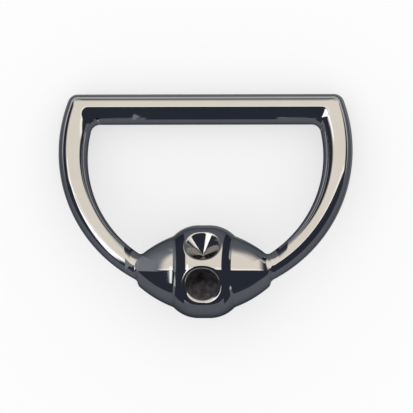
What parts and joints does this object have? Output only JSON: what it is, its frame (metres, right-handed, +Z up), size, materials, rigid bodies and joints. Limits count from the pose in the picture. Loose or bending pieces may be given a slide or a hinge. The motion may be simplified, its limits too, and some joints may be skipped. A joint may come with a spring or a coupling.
{
  "type": "strap d-ring",
  "caption": "Cast and plated D-ring: a straight strap bar and a round bow that runs into a thick turned hub with cone dimples in the front of its crowned band.",
  "frame": {"origin": "middle of the underside of the bounding box, with the ring lying on its back on the hub's band and the straight bar", "axes": "+X along the straight bar and the hub, +Y from the hub to the straight bar, +Z up out of the dimpled front"},
  "size_m": [0.051, 0.0386, 0.016],
  "materials": {
    "plated_metal": "polished dark nickel plating, mirror bright"
  },
  "bodies": {
    "root": {"d_ring": "plated_metal"}
  },
  "joints": []
}
